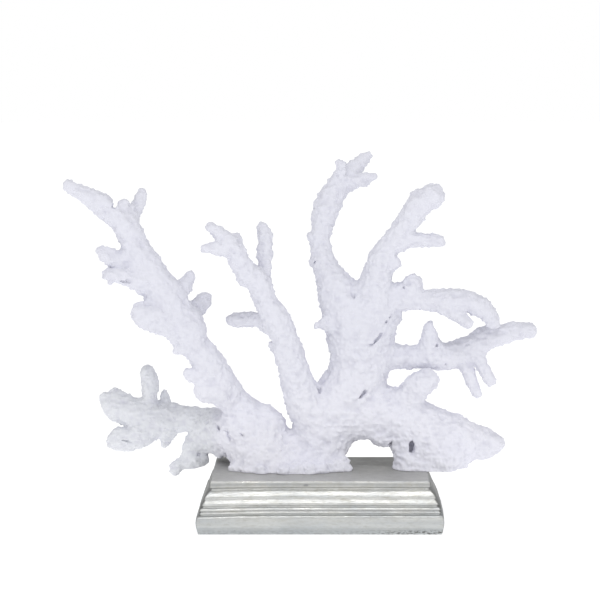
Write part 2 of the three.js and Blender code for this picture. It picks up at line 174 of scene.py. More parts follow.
def piece_of(name, points, *face_sets, flat_from=None):
    """An object at the origin from points in mm and sets of faces; sets from flat_from on aren't smooth."""
    mesh = bpy.data.meshes.new(name)
    sides = np.concatenate([np.full(len(faces), faces.shape[1]) for faces in face_sets])
    smooth = np.concatenate([np.full(len(faces), flat_from is None or i < flat_from)
                             for i, faces in enumerate(face_sets)])
    corners = np.concatenate([faces.ravel() for faces in face_sets])
    mesh.vertices.add(len(points))
    mesh.vertices.foreach_set("co", (points * 0.001).astype(np.float32).ravel())
    mesh.loops.add(len(corners))
    mesh.loops.foreach_set("vertex_index", corners.astype(np.int32))
    mesh.polygons.add(len(sides))
    mesh.polygons.foreach_set("loop_start", (np.cumsum(sides) - sides).astype(np.int32))
    mesh.polygons.foreach_set("use_smooth", smooth)
    mesh.update(calc_edges=True)
    made = bpy.data.objects.new(name, mesh)
    bpy.context.scene.collection.objects.link(made)
    return made


def paint(piece, name, values):
    """Gives each point of a piece a number, which its material reads by that name."""
    layer = piece.data.attributes.new(name, "FLOAT", "POINT")
    layer.data.foreach_set("value", values.astype(np.float32).ravel())


class Shade:
    """One socket of a material. Arithmetic on it adds Math nodes, and node() adds any other node."""

    def __init__(self, tree, socket=None):
        self.tree, self.socket = tree, socket

    def node(self, kind, settings=(), values=(), output=0):
        made = self.tree.nodes.new(kind)
        for key, value in dict(settings).items():
            if key == "stops":
                ramp = made.color_ramp.elements
                while len(ramp) < len(value):
                    ramp.new(1)
                for stop, (place, grey) in zip(ramp, value):
                    stop.position, stop.color = place, (grey, grey, grey, 1)
            else:
                setattr(made, key, value)
        for key, value in dict(values).items():
            if isinstance(value, Shade):
                self.tree.links.new(value.socket, made.inputs[key])
            else:
                made.inputs[key].default_value = value
        return Shade(self.tree, made.outputs[output])

    def maths(self, operation, one, other):
        return self.node("ShaderNodeMath", {"operation": operation}, {0: one, 1: other})

    def __add__(self, other):
        return self.maths("ADD", self, other)

    def __sub__(self, other):
        return self.maths("SUBTRACT", self, other)

    def __rsub__(self, other):
        return self.maths("SUBTRACT", other, self)

    def __mul__(self, other):
        return self.maths("MULTIPLY", self, other)

    __radd__, __rmul__ = __add__, __mul__

    def ramp(self, *stops):
        return self.node("ShaderNodeValToRGB", {"stops": stops}, {"Fac": self})

    def blend(self, low, high):
        return self.node("ShaderNodeMix", {"data_type": "RGBA"}, {0: self, 6: low, 7: high}, output=2)

    def noise(self, vector, scale, detail=3.0, rough=0.55):
        return self.node("ShaderNodeTexNoise", {}, {
            "Vector": vector, "Scale": scale, "Detail": detail, "Roughness": rough})

    def stretched(self, vector, scale):
        return self.node("ShaderNodeMapping", {}, {"Vector": vector, "Scale": scale})

    def along(self, vector, axis):
        return self.node("ShaderNodeSeparateXYZ", {}, {0: vector}, output=axis)

    def between(self, low, high):
        """0 at the first place and 1 at the second, both in mm."""
        return self.node("ShaderNodeMapRange", {}, {
            "Value": self, "From Min": low / 1000, "From Max": high / 1000})

    def painted(self, name):
        return self.node("ShaderNodeAttribute", {"attribute_name": name}, output=2)


def finish_of(name):
    """A new material: its tree as a Shade, and its shader node."""
    made = bpy.data.materials.new(name)
    made.use_nodes = True
    return made, Shade(made.node_tree), made.node_tree.nodes["Principled BSDF"]


def feed(shade, shader, **links):
    """Joins sockets to the shader's inputs, named with _ for a space."""
    for key, value in links.items():
        shade.tree.links.new(value.socket, shader.inputs[key.replace("_", " ")])


silver_leaf, shade, shader = finish_of("silver_leaf")
place = shade.node("ShaderNodeTexCoord", output=3)
across, back, height = (shade.along(place, axis) for axis in range(3))
hollows, painted_end_shade = shade.painted("hollow"), shade.painted("tarnish")
on_top = height.between(*LEAF_TOP)

# The leaf's streaks, smears, spots and cracks; a scale is how many of them stand in a metre.
streaks = shade.noise(shade.stretched(place, (9, 9, 420)), 1.0, 4.0, 0.6)
smears = shade.noise(shade.stretched(place, (26, 26, 90)), 1.0, 4.0, 0.6)
mottle = shade.noise(place, 190.0, 3.0)
crackle = shade.noise(shade.stretched(place, (520, 520, 900)), 1.0, 3.0)
brushing = shade.noise(shade.stretched(place, (60, 900, 1500)), 1.0, 2.0)
rubbed = shade.noise(shade.stretched(place, (75, 75, 330)), 1.0, 4.0, 0.65).ramp((0.5, 0), (0.68, 1))
spotted = shade.noise(shade.stretched(place, (230, 230, 640)), 1.0, 3.0, 0.6).ramp((0.5, 0), (0.64, 1))
specks = shade.noise(shade.stretched(place, (330, 330, 700)), 1.0, 2.0).ramp((0.5, 0), (0.56, 1))

# Its colour: warm and cool silver; patina and painted shade in the grooves, on the flat faces and the
# ends; brown where rubbed; a painted bluish reflection low down; painted shade on the ends; the flat
# top's painted dark reflection, lighter at the front; and the bare specks.
tone = (streaks * 0.5 + smears * 0.5).ramp((0.38, 0), (0.62, 1))
leaf = tone.blend(SILVER_COOL, SILVER)
# Patina and painted shade in the grooves, on the flat faces and on the ends.
leaf = (hollows * (0.55 + mottle * 0.7)).blend(leaf, SILVER_DULL)
leaf = (rubbed * 0.34 + spotted * 0.26).blend(leaf, SILVER_UMBER)
# A painted bluish reflection low down.
leaf = (height.between(*BLUE_REFLECTION_RISE) * 0.3).blend(leaf, SILVER_BLUE_REFLECTION)
# Painted shade on the ends.
leaf = painted_end_shade.blend(leaf, END_SHADE_COLOUR)
# The flat top: a painted dark reflection, lighter towards the front, broken by smears and mottle.
top_reflection_and_smears = smears * 0.5 + mottle * 0.2 + back.between(*TOP_REFLECTION_FADE) * 0.5
leaf = on_top.blend(leaf, top_reflection_and_smears.ramp((0.3, 0), (0.95, 1)).blend(TOP_DARK_REFLECTION, TOP_FRONT_REFLECTION))
bare = specks * height.between(*WORN_EDGE) * (0.2 + across.between(*WORN_RIGHT) * 0.8)
bare = bare + crackle.ramp((0.68, 0), (0.74, 1)) * 0.5
leaf = bare.blend(leaf, BARE_EDGE)
dullness = 0.27 + (1 - tone) * 0.13 + hollows * 0.22 + on_top * 0.22 + bare * 0.3 + painted_end_shade * 0.3
metal = 0.92 - bare * 0.8 - on_top * 0.35 - hollows * 0.25 - painted_end_shade * 0.65
texture = brushing * 0.4 + streaks * 0.5 + mottle * 0.3 + crackle * 0.5
grain = shade.node("ShaderNodeBump", {}, {"Strength": 0.6, "Distance": BUMP_DEPTH, "Height": texture})
feed(shade, shader, Base_Color=leaf, Roughness=dullness, Metallic=metal, Normal=grain)

section = eased(STAND_SECTION)
up = section[:, 1]
points, ways, sides, under, over = moulded_block(section, STAND_HALF, STAND_CORNER, STAND_RUNS)
points = hand_run(points, ways, up)
nick = np.hypot((points[:, 0] - NICK_AT[0]) / NICK_SIZE[0], (points[:, 2] - NICK_AT[1]) / NICK_SIZE[1])
nick = np.exp(-nick**2) * (points[:, 1] < 0)
points[:, 1] += NICK_DEEP * nick
to_corner = np.abs(points[:, 1]).reshape(len(section), -1) / STAND_HALF[1]
at_end = np.abs(ways[:, 0])
# Patina and painted shade by height, and painted shade on the ends, more towards the corners.
patina_and_shade_by_height = np.interp(up, *np.transpose(PATINA_AND_SHADE))[:, None]
dull = np.maximum(patina_and_shade_by_height, at_end * (END_DULL_AND_SHADE + CORNER_DULL_AND_SHADE * to_corner**2))
# Painted shade that darkens the ends' colour above the block, more towards the corners.
tarnish = (rising(up, END_SHADE_FOOT, END_SHADE_EASE) * rising(up, STAND_HEIGHT, -1))[:, None] * at_end

stand = piece_of("stand_moulded", points, sides, under, over, flat_from=1)
paint(stand, "hollow", np.maximum(dull.ravel(), NICK_DULL * nick))
paint(stand, "tarnish", tarnish * (END_SHADE_MIDDLE + END_SHADE_CORNER * to_corner**2))
stand.data.materials.append(silver_leaf)
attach(stand, "root")
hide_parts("stand")


# The trunk: two feet on the stand's top that meet in a low arch, ragged with small toes, and the heavy stem
# above the right foot. The coral grew as one skeleton of lime, now bleached, so every limb grows into one
# field here, and the skin is taken from that field after the last branch.
TRUNK_BACK = 8  # mm, how far back the stations' plane stands
LEAN = 1.5  # the branches fan out this much more from front to back than they were measured
EYE_AWAY, EYE_UP = 1450, 345  # mm, where the stations were measured from
PITCH = 0.85  # mm, the field's grid
LOW, HIGH = np.array([-220.0, -64, 26]), np.array([195.0, 72, 320])  # mm, the grid's first and last corner
FAR = 60  # mm, the field's value away from every limb
WEB, WEB_LEAST, WEB_MOST = 0.35, 1.6, 5  # a crotch's web as a share of the limb's radius, and in mm
MARGIN = 1  # mm, how far past its web a limb is worked out
axes = [np.arange(low, high, PITCH, dtype=np.float32) for low, high in zip(LOW, HIGH)]
field = np.full([len(axis) for axis in axes], FAR, np.float32)
grower = np.zeros(field.shape, np.uint8)
branches = []


def placed(x, z, back):
    """Where a station stands: it keeps its place in the front view while it is moved back by its depth."""
    depth = TRUNK_BACK + LEAN * (np.asarray(back) - TRUNK_BACK)
    farther = 1 + depth / EYE_AWAY
    return np.stack([x * farther, depth, EYE_UP + (z - EYE_UP) * farther], axis=-1)


def limb_line(stations, steps=4):
    """A curve through a limb's stations, its slope at each one set by its two neighbours (Catmull-Rom). A
    station is x and z as they show from the front, how far back it stands and the radius, all in mm."""
    x, z, back, radius = np.array(stations, float).T
    knots = np.column_stack([placed(x, z, back), radius])
    knots = np.vstack([2 * knots[0] - knots[1], knots, 2 * knots[-1] - knots[-2]])
    t = np.linspace(0, 1, steps, endpoint=False)[None, :, None]
    a, b, c, d = (knots[i : len(knots) - 3 + i, None] for i in range(4))
    curve = b + t / 2 * (c - a + t * (2 * a - 5 * b + 4 * c - d + t * (3 * (b - c) + d - a)))
    return np.vstack([curve.reshape(-1, 4), knots[-2]])


def boxed(low, high):
    """The part of the grid between two corners, as slices and as its three axes set to broadcast."""
    first = np.maximum(np.floor((low - LOW) / PITCH), 0).astype(int)
    last = np.minimum(np.ceil((high - LOW) / PITCH) + 1, field.shape).astype(int)
    part = tuple(slice(a, max(a, b)) for a, b in zip(first, last))
    return part, np.ix_(*(axis[cut] for axis, cut in zip(axes, part)))


def grow(name, limbs, deep=1.0, parent=None, fork=None, way=None):
    """Adds a branch. A limb's distance is the least over its short tapered lengths, each the distance to
    a line less the radius there, with depth counted 1/deep as much. It joins what has grown by a smooth
    minimum, so that a web of about a third of the limb's radius fills the crotch between them."""
    branches.append((name, parent, fork, way))
    for stations in limbs:
        line = limb_line(stations)
        web = float(np.clip(WEB * line[:, 3].max(), WEB_LEAST, WEB_MOST))
        reach = line[:, 3].max() + web + MARGIN
        part, _ = boxed(line[:, :3].min(axis=0) - reach, line[:, :3].max(axis=0) + reach)
        near = np.full(field[part].shape, FAR, np.float32)
        start = np.array([cut.start for cut in part])
        for a, b in zip(line[:-1], line[1:]):
            reach = max(a[3], b[3]) + web + MARGIN
            inner, (x, y, z) = boxed(np.minimum(a, b)[:3] - reach, np.maximum(a, b)[:3] + reach)
            inner = tuple(slice(cut.start - s, cut.stop - s) for cut, s in zip(inner, start))
            x, y, z = x - np.float32(a[0]), y - np.float32(a[1]), z - np.float32(a[2])
            u, v, w, taper = (b - a).astype(np.float32)
            t = np.clip((x * u + y * v + z * w) / (u * u + v * v + w * w + 1e-9), 0, 1)
            away = np.sqrt((x - t * u) ** 2 + ((y - t * v) / np.float32(deep)) ** 2 + (z - t * w) ** 2)
            near[inner] = np.minimum(near[inner], away - np.float32(a[3]) - t * taper)
        old = field[part]
        meet = np.clip(1 - np.abs(old - near) / web, 0, None)
        grower[part] = np.where(near < old, len(branches) - 1, grower[part])
        field[part] = np.minimum(old, near) - web / 4 * meet**2


grow("trunk", deep=0.86, limbs=(
    ((-46.5, 34, 6, 27), (-49, 50, 7, 28), (-55, 66, 9, 27), (-61, 78, 8, 24)),
    ((-4, 34, 5, 27.6), (-1.5, 55, 8, 23.4), (5, 78, 10, 26.5), (18, 101, 9, 26),
     (30.6, 121, 8, 24.7), (34.2, 139, 7, 25.6), (34.8, 155, 6, 27.8), (35.5, 163, 6, 28)),
    ((44, 98, 8, 14), (43.4, 118, 8, 11.4), (46.8, 138, 7, 13.6), (48, 156, 6, 14.2),
     (50.4, 172, 5, 15.6)),
    ((50, 176, 5, 14), (60.2, 174.6, 5, 9.2)),
    ((-50, 62, 8, 22), (-46.4, 78.6, 6, 17.6)),
    ((-30, 36, 5, 26), (-28, 50, 7, 21), (-23, 61.2, 8, 15.2)),
    ((-46, 88, 4, 9), (-45.6, 93, 4, 5.4)),
    ((10, 43, 2, 11), (16.6, 46.4, 0, 8.6)),
    ((14, 92, 9, 25), (26, 91, 9, 23), (38, 90, 8, 21)),
    ((50, 80, 7, 12), (53.6, 74.8, 6, 12.7)),
    ((30, 138, 18, 14), (34, 145, 29, 9)),
    ((2, 84, 18, 14), (-5, 91, 28, 9)),
    ((-60, 44, -1, 8), (-61, 41.5, -6.5, 5)), ((-50, 44, -2, 8), (-50.5, 41.5, -10.4, 5)),
    ((-40, 44, -2, 8), (-39, 41.5, -8, 5.4)), ((-31, 44, -2, 8), (-30.5, 41.5, -11, 5.6)),
    ((-20, 44, -2, 9), (-19.6, 41.5, -9.6, 6)), ((-10, 44, -2, 9), (-9, 41.5, -11.4, 5.4)),
    ((0, 44, -2, 8), (1.6, 41.5, -8.4, 5.6)),
    ((-58, 47, -3, 9), (-72, 42.5, -3, 5)),
    ((12, 44, -4, 7), (24.5, 42.6, -4, 2.4)),))


# The left arm: the longest branch, thrown up and out to the left from the left foot's shoulder. It is
# part of the one lime skeleton, with short blunt side shoots and a tip that forks into worn fingers.
grow("left_arm", deep=0.92, parent="trunk", fork=(-77, 101.5, 5), way=(-0.62, 0, 0.78), limbs=(
    ((-62, 82, 8, 19), (-70.6, 98, 6, 12.6), (-82.9, 112.2, 2, 14.7), (-92.6, 128.4, -2, 14.6),
     (-100.4, 143, -5, 12), (-108.6, 153, -7, 13.3), (-113.6, 163, -8, 16.8), (-122, 176, -9, 15),
     (-131, 191, -10, 15.5), (-140, 204, -11, 15), (-147, 215, -12, 14.2), (-153, 226, -13, 12.6),
     (-158.5, 239, -14, 10.8), (-163.5, 250, -15, 11), (-172, 258.8, -16, 9.8),
     (-183.5, 267.6, -17, 9.3), (-195.5, 275.5, -19, 7.3), (-204, 280.6, -20, 6),
     (-211.2, 284.8, -21, 5.2)),
    ((-164.4, 256, -14, 6.4), (-165.2, 263, -14, 6), (-165.6, 267.8, -14, 5.8)),
    ((-160.5, 252, -10, 7), (-156, 263, -7, 5.8), (-152, 272, -5, 5.1), (-150, 278.8, -4, 3.4)),
    ((-160, 256, -12, 6.4), (-159.8, 264.4, -11, 4.6)),
    ((-160, 223, -12, 10), (-171, 222.6, -16, 8), (-179, 225, -19, 7.2), (-185, 229.4, -21, 4.6)),
    ((-150, 205, -14, 11), (-162, 207.6, -18, 8), (-171, 208.4, -21, 6), (-178.5, 209.4, -22, 4.9)),
    ((-177, 206, -22, 3), (-177, 202, -22, 2.5)),
    ((-147, 200, -14, 7), (-152, 196, -15, 3.4)),
    ((-130, 194, -8, 10), (-118, 196.4, -6, 7.3), (-112.3, 204, -4, 5.4), (-110.3, 207.6, -3, 4.5)),
    ((-120, 174, -4, 10), (-106.6, 180, 3, 7.8), (-100.3, 185.3, 7, 7.6), (-97.5, 189.5, 8, 4.6)),
    ((-126, 170.6, -10, 13.6), (-138, 172.8, -14, 13.6), (-149, 175.6, -17, 10.9),
     (-155.5, 178.6, -19, 4.8)),
    ((-108, 150, -7, 10), (-117, 146.6, -10, 6), (-122.5, 143.6, -11, 2.8)),
    ((-97, 126, -4, 9), (-106, 123.6, -8, 6.6), (-111.5, 125, -10, 5)),
    ((-88, 112, -2, 13), (-98.5, 110, -6, 9.6)),
    ((-128, 187, -6, 9), (-124, 192, 7, 6.4)),
    ((-107, 152, -2, 8), (-104, 150, 9, 5.6)),))


# The lower left spray: a low branch that leaves the left shoulder towards the back, webbed into it, and
# breaks into blunt fingers, some up and some drooping. It stands in the shade of the rest, and its colour
# is made greyer with painted shade.
grow("lower_left_spray", deep=0.95, parent="trunk", fork=(-84, 75, 24), way=(-1, 0, 0), limbs=(
    ((-56, 72, 18, 17), (-74, 73.5, 22, 19.6), (-88, 75, 26, 20.4), (-99, 82, 28, 13.5),
     (-110, 85.6, 30, 11.3), (-122, 85.4, 32, 11.8), (-133, 85, 33, 13.6), (-146, 87, 34, 14),
     (-158, 91.5, 35, 13.6), (-168, 94.2, 36, 12.8), (-175.6, 97.6, 37, 10.8),
     (-182.5, 103.6, 38, 5.4)),
    ((-60, 74, 8, 20), (-77, 74.5, 13, 17), (-92, 77, 21, 14)),
    ((-168, 98, 36, 10), (-174.6, 107.4, 37, 5.6)),
    ((-146, 90, 34, 10), (-144.6, 104, 33, 7.2), (-145.2, 118, 32, 7.9), (-146.4, 127, 31, 5.6)),
    ((-133, 92, 36, 8), (-132.4, 101, 37, 5), (-132.4, 109, 37, 2.6)),
    ((-122, 90, 33, 8), (-124.6, 94.6, 33, 5.4)),
    ((-140, 82, 33, 12), (-150, 74.6, 32, 12), (-162, 69, 31, 11), (-171, 68, 30, 10.2),
     (-175.5, 66.6, 30, 7.4)),
    ((-130, 78, 33, 9.6), (-131.4, 71.6, 33, 6.4), (-132.4, 66, 33, 4.8)),
    ((-94, 74, 27, 13), (-104, 66, 26, 11.6), (-107.6, 60, 26, 11), (-108.6, 54, 25, 10)),
    ((-101.6, 51.4, 25, 7), (-109, 50.4, 25, 7.8), (-117.5, 48, 24, 6.2), (-124, 45, 23, 4.6)),
    ((-121, 45.6, 23, 4.8), (-124, 40, 23, 3.8)),))


# The centre left branch: a slimmer branch from the trunk's left side that leans left as it climbs, with
# one straight upright shoot and one level one. It is fused to the trunk as it grew.
grow("centre_left_branch", deep=1, parent="trunk", fork=(-20, 119.5, -2), way=(-0.22, 0, 0.97), limbs=(
    ((0, 78, 6, 17), (-10.4, 96, 4, 17.6), (-18.4, 114, 0, 14.4), (-22.8, 130, -4, 12.4),
     (-27, 144, -7, 12.6), (-29.8, 156, -9, 11), (-36.2, 170, -11, 11.6), (-44.8, 184, -13, 10),
     (-48.8, 195, -15, 9.8), (-53.4, 204, -17, 9.8), (-61.6, 211.2, -20, 9),
     (-67.6, 220.2, -22, 8.4), (-71.6, 229, -24, 8.6), (-77, 236, -25, 8.4), (-84, 243.4, -26, 6),
     (-91.6, 249, -27, 4.8)),
    ((-77, 232, -25, 8), (-87, 231.6, -28, 5.8), (-96.8, 232.4, -30, 4.2)),
    ((-72, 234, -23, 6.4), (-70.6, 241, -22, 4.3)),
    ((-48.4, 200, -14, 7.2), (-47.2, 214, -12, 5.8), (-46.4, 230, -10, 6.4), (-46.7, 242, -8, 6.4),
     (-48.4, 248.8, -7, 5.5)),
    ((-44, 225.6, -10, 4), (-40.9, 225.6, -10, 3)),
    ((-37, 166, -10, 10), (-52, 171, -6, 6.7), (-67, 170.9, -3, 5.9), (-74.6, 170.8, -2, 5.2)),
    ((-34, 148, -8, 7), (-41.4, 149.4, -9, 2.7)),
    ((-57, 208, -18, 9), (-62.4, 205.4, -19, 6.6)),
    ((-28, 146, -2, 7), (-26, 150, 7, 5)),))


# The tall branch: the left of the two stems that the trunk parts into, and the top of the coral. It is the
# same bleached lime, grown upright out of the trunk, with small knobs on its left and three worn tips.
grow("tall_branch", deep=1, parent="trunk", fork=(9.5, 208, 4), way=(-0.4, 0, 0.92), limbs=(
    ((30, 166, 6, 25), (22, 182, 5, 21), (15, 195, 4, 16.8), (9.9, 205, 4, 13.6), (6.3, 213, 5, 11.3),
     (2, 225, 7, 9.7), (0.6, 240, 9, 8.8), (2.8, 255, 11, 9.8), (6.4, 268, 13, 11),
     (13.4, 280.3, 15, 10.3), (20, 289.6, 17, 9.6), (27, 297, 19, 7.4), (33.6, 304, 21, 5.4),
     (39.4, 309, 22, 3.8)),
    ((19.2, 290, 16, 7), (17.6, 297.6, 12, 5.4), (17.3, 302.8, 11, 5.1)),
    ((25, 288, 16, 8), (35.6, 289.6, 12, 5.4), (45.8, 292.4, 9, 2.4)),
    ((0, 220.6, 6, 7), (-4.7, 220.6, 5, 4.6)),
    ((-2, 242.6, 9, 7), (-5, 241.6, 8, 4.6)),
    ((-1, 257, 11, 6), (-5.2, 257, 10, 3.4)),
    ((1, 268.6, 13, 6), (-2.6, 268.6, 12, 3.2)),
    ((3, 252, 15, 6.5), (6, 257, 22, 4.6)),
    ((16, 169.4, 2, 10), (6, 168, -2, 6.4), (-2.4, 165.6, -4, 2.2)),))


# The centre right branch: the right of the two stems, which leans right and ends in a blunt knob, with
# one level shoot. It is fused to the trunk as it grew.
grow("centre_right_branch", deep=1, parent="trunk", fork=(47.5, 208, -1), way=(0.3, 0, 0.95), limbs=(
    ((38, 164, 4, 22), (44, 184, 2, 19), (46.8, 200, 0, 15), (49.4, 212, -2, 12.6),
     (52, 222, -3, 11.4), (57.9, 233.8, -4, 9.5), (67.2, 245.7, -6, 9.3), (75.6, 255.7, -7, 9.8),
     (80.4, 264.4, -8, 10.6), (87, 271, -9, 10.4), (94.2, 275.7, -10, 10.8)),
    ((81, 267, -8, 8), (80.4, 274.8, -8, 5.3)),
    ((65, 238, -4, 9.4), (80, 239, -6, 6.8), (93, 239, -7, 6.1), (101.6, 237.6, -8, 4.4)),
    ((56, 217, -3, 8), (62.6, 219.6, -5, 6)),
    ((62, 241, 2, 7), (66, 247, 9, 5)),))


# The upper right branch: a level limb of the same lime, grown out of the trunk below the parting of the
# stems. Its end turns down, as if worn, and it has one knob on top and one low shoot.
grow("upper_right_branch", deep=1, parent="trunk", fork=(70, 189, 1), way=(1, 0, 0), limbs=(
    ((42, 180, 4, 19), (54, 187, 3, 13.8), (66, 190.5, 2, 12.4), (78, 188.8, 0, 10),
     (91, 187.8, -2, 8.8), (105, 187, -4, 10), (118, 187.6, -5, 9.6), (129, 185.6, -5, 9.2),
     (138, 180.4, -4, 8.2), (145, 173.4, -1, 6.6), (147.6, 168, 1, 4.8)),
    ((74, 192, -1, 10), (78.9, 201.4, -2, 8.1)),
    ((108, 181.4, -5, 8.1), (116.8, 175.6, -8, 6.1), (125, 168.6, -11, 4.7)),))


# The middle right branch: a level limb of the same lime, grown out of the stem. It rises to a blunt end,
# with one pointed shoot on top and two thin ones that hang.
grow("middle_right_branch", deep=1, parent="trunk", fork=(67, 139, 8), way=(1, 0, 0), limbs=(
    ((38, 138, 6, 20), (54, 139, 7, 12), (72, 139.2, 8, 9.8), (90, 139.4, 8, 9.9),
     (104, 139.3, 8, 11.3), (118, 142, 9, 11.6), (130, 148, 9, 11), (141, 155.6, 10, 10.6),
     (152, 158.2, 10, 8.9), (165, 161.4, 11, 7.4), (178.2, 161.5, 12, 6.8)),
    ((94.4, 143, 6, 12.8), (93.3, 152, 3, 8.9), (92.4, 162, 1, 5.2), (92.3, 167, 0, 3)),
    ((122.6, 136, 9, 7.6), (127, 123.6, 7, 5.6), (131.6, 113, 5, 4.7), (133.8, 108.4, 4, 4.2)),
    ((130, 145, 7, 8.6), (137.6, 131.6, 4, 5.4), (145.2, 119, 2, 5.1)),))


# The right lobe: a heavy rounded mass beside the trunk, which overhangs the stand's right end and stands
# on it by its own foot. It is fused to the trunk along a deep crease.
grow("right_lobe", deep=0.8, parent="trunk", fork=(61, 90, 8), way=(1, 0, 0), limbs=(
    ((42, 92, 8, 20), (58, 92, 8, 21.5), (75, 84, 8, 23), (90, 72.6, 7, 25.6), (101, 67.6, 6, 26.2),
     (111, 66.2, 6, 24.4), (121, 66, 6, 19.6), (130, 65.6, 6, 15.6), (138, 64.8, 6, 14.2),
     (147, 64.4, 6, 10), (151, 64, 6, 7)),
    ((79, 34, 3, 15.4), (79, 55, 4, 15.8), (77, 78, 7, 18)),
    ((88, 46, 0, 11), (100, 49, -2, 9.9), (111, 50.4, -4, 9), (118, 53, -4, 7.4)),
    ((90, 36, 8, 9), (92, 50, 8, 12)),
    ((74, 78, 12, 14), (66.8, 73.4, 12, 13.4)),
    ((104, 66, 16, 13), (108, 72, 24, 8.4)),))


# The right stub: one short blunt shoot on the lobe's shoulder, of the same bleached lime. It grew out of
# the lobe and is fused to it.
grow("right_stub", deep=1, parent="right_lobe", fork=(76, 109.5, 1), way=(0.84, 0, 0.54), limbs=(
    ((74, 103, 4, 12), (82.6, 113.6, 0, 11.2), (90.3, 119, -2, 9.9), (95.8, 117.4, -2, 5)),))


# The pits: slits, creases and one notch where the limbs have not quite closed, and small pores in between.
# They are hollows of the grown skeleton, worn at the lip, so they are taken out of the field.
PITS = (  # x, z, back, half-length, half-width, half-depth, degrees up from level
    (49.6, 155.9, -8, 4.6, 1.7, 3.4, 46), (45.4, 151.4, -9, 4.2, 1.2, 3.2, 40),
    (36.4, 106.4, -5.8, 5.8, 2.4, 9, 48), (78.4, 62.4, -1, 6, 2.6, 10.5, 84),
    (-47.9, 42.4, -8.5, 1.9, 1.6, 4, 20), (-87.4, 79.6, 5.4, 6, 1.3, 3.4, -52),
    (-77.7, 70.1, -0.9, 4.4, 1.1, 2.6, -58), (-79.8, 75, 0, 3.8, 1.1, 2.6, -20),
    (-67.1, 72.7, -4.6, 3, 0.7, 1.6, -25), (-164.9, 66.2, 24, 5.6, 0.8, 3, -12),
    (-103.9, 54.5, 19.8, 2, 0.9, 3, 40), (99.4, 149, -1.4, 2, 0.7, 3, 40),
    (106.7, 133.1, 1.3, 1.7, 0.9, 3, 60), (71.2, 198.4, -5.6, 1, 0.7, 3, 50),
    (28.2, 192, -5.6, 8, 2.4, 1.7, 86), (-2.1, 111.6, -0.8, 6.5, 2.4, 2.4, 80),
    (-163.6, 203, -22.4, 9, 0.7, 1.8, -14), (58.6, 173.4, -5.4, 1.8, 0.8, 3, 40),
    (56.2, 169.6, -6.3, 1.4, 0.7, 3, 70), (-4.2, 219.8, 2, 1.5, 0.8, 3, 60),
    (60.8, 66.2, 4, 4.6, 2.2, 4.2, 80), (-172.6, 271, -16, 5.4, 2.6, 13, 88))
PIT_REACH = 12  # mm, how far from its middle a pit is worked out
PIT_LIP = 0.7  # the lip's rounding, as a share of the pit's half-width

for x, z, back, long, wide, deep, tilt in PITS:
    at = placed(x, z, back)
    part, (px, py, pz) = boxed(at - PIT_REACH, at + PIT_REACH)
    turn = math.radians(tilt)
    along = ((px - at[0]) * math.cos(turn) + (pz - at[2]) * math.sin(turn)) / long
    over = ((pz - at[2]) * math.cos(turn) - (px - at[0]) * math.sin(turn)) / wide
    hole = (np.sqrt(along**2 + over**2 + ((py - at[1]) / deep) ** 2) - 1) * wide
    lip = PIT_LIP * wide
    meet = np.clip(1 - np.abs(field[part] + hole) / lip, 0, None)
    field[part] = np.maximum(field[part], -hole) + lip / 4 * meet**2


# The coral's skin: chalky bleached lime, lumpy from the branch's growth and beaded with worn cups that
# leave a fine grain. The feet are sawn flat where they sit on the stand. The skin is parted at the main
# forks, so that each branch is a piece of its own.
FOOT_FLARE, FLARE_HEIGHT = 2.2, 2.5  # mm, how far a foot spreads at the stand, and how soon that is gone
SAWN_EDGE = 1.2  # mm, the rounding of the sawn edge
SOLE = 0.4  # mm, below this height over the stand the relief goes sideways only
SOLE_SPREAD = (1.2, 1.2, 0)
RELAXING = 3  # rounds
LUMP, LUMP_SIZE = 0.9, 12.0  # mm, how far each kind of relief stands out, and how wide it is
KNOB, KNOB_SIZE = 1.3, 6.6
CRUMPLE, CRUMPLE_SIZE = 1.15, 5.2
WART, WART_SIZE = 2.9, 4.2
GRAIN, GRAIN_SIZE = 0.42, 2.2
SEAM_REACH = 1.5 * PITCH  # mm, a seam's points no farther than this from the fork's plane are put on it
DIMMING_UP = (45, 130)  # mm, the height at which painted shade starts to dim the coral, and over what rise
DIMMING_RIGHT = (105, 100)  # mm, the same to the right
DIMMING_MOST = 0.85
SPRAY_SHADE_LEFT = (-84, -15)  # mm, the same for the spray's painted shade, to the left
SPRAY_SHADE_MOST = 0.9
CORAL_PALE = (0.815, 0.815, 0.895, 1)
CORAL_WARM = (0.835, 0.83, 0.89, 1)
# Painted shade in the relief's hollows.
CORAL_CREVICE_SHADE = (0.64, 0.64, 0.72, 1)
# Painted shade that dims the coral higher up and to the right.
CORAL_DIMMED = (0.71, 0.715, 0.785, 1)
# The lower left spray's painted shade.
CORAL_SPRAY_SHADE = (0.763, 0.778, 0.815, 1)


def gathered(faces, values):
    """Each vertex's sum of a vector that its faces carry."""
    each = [np.repeat(column, faces.shape[1]) for column in values.T]
    return np.stack([np.bincount(faces.ravel(), column) for column in each], axis=1)


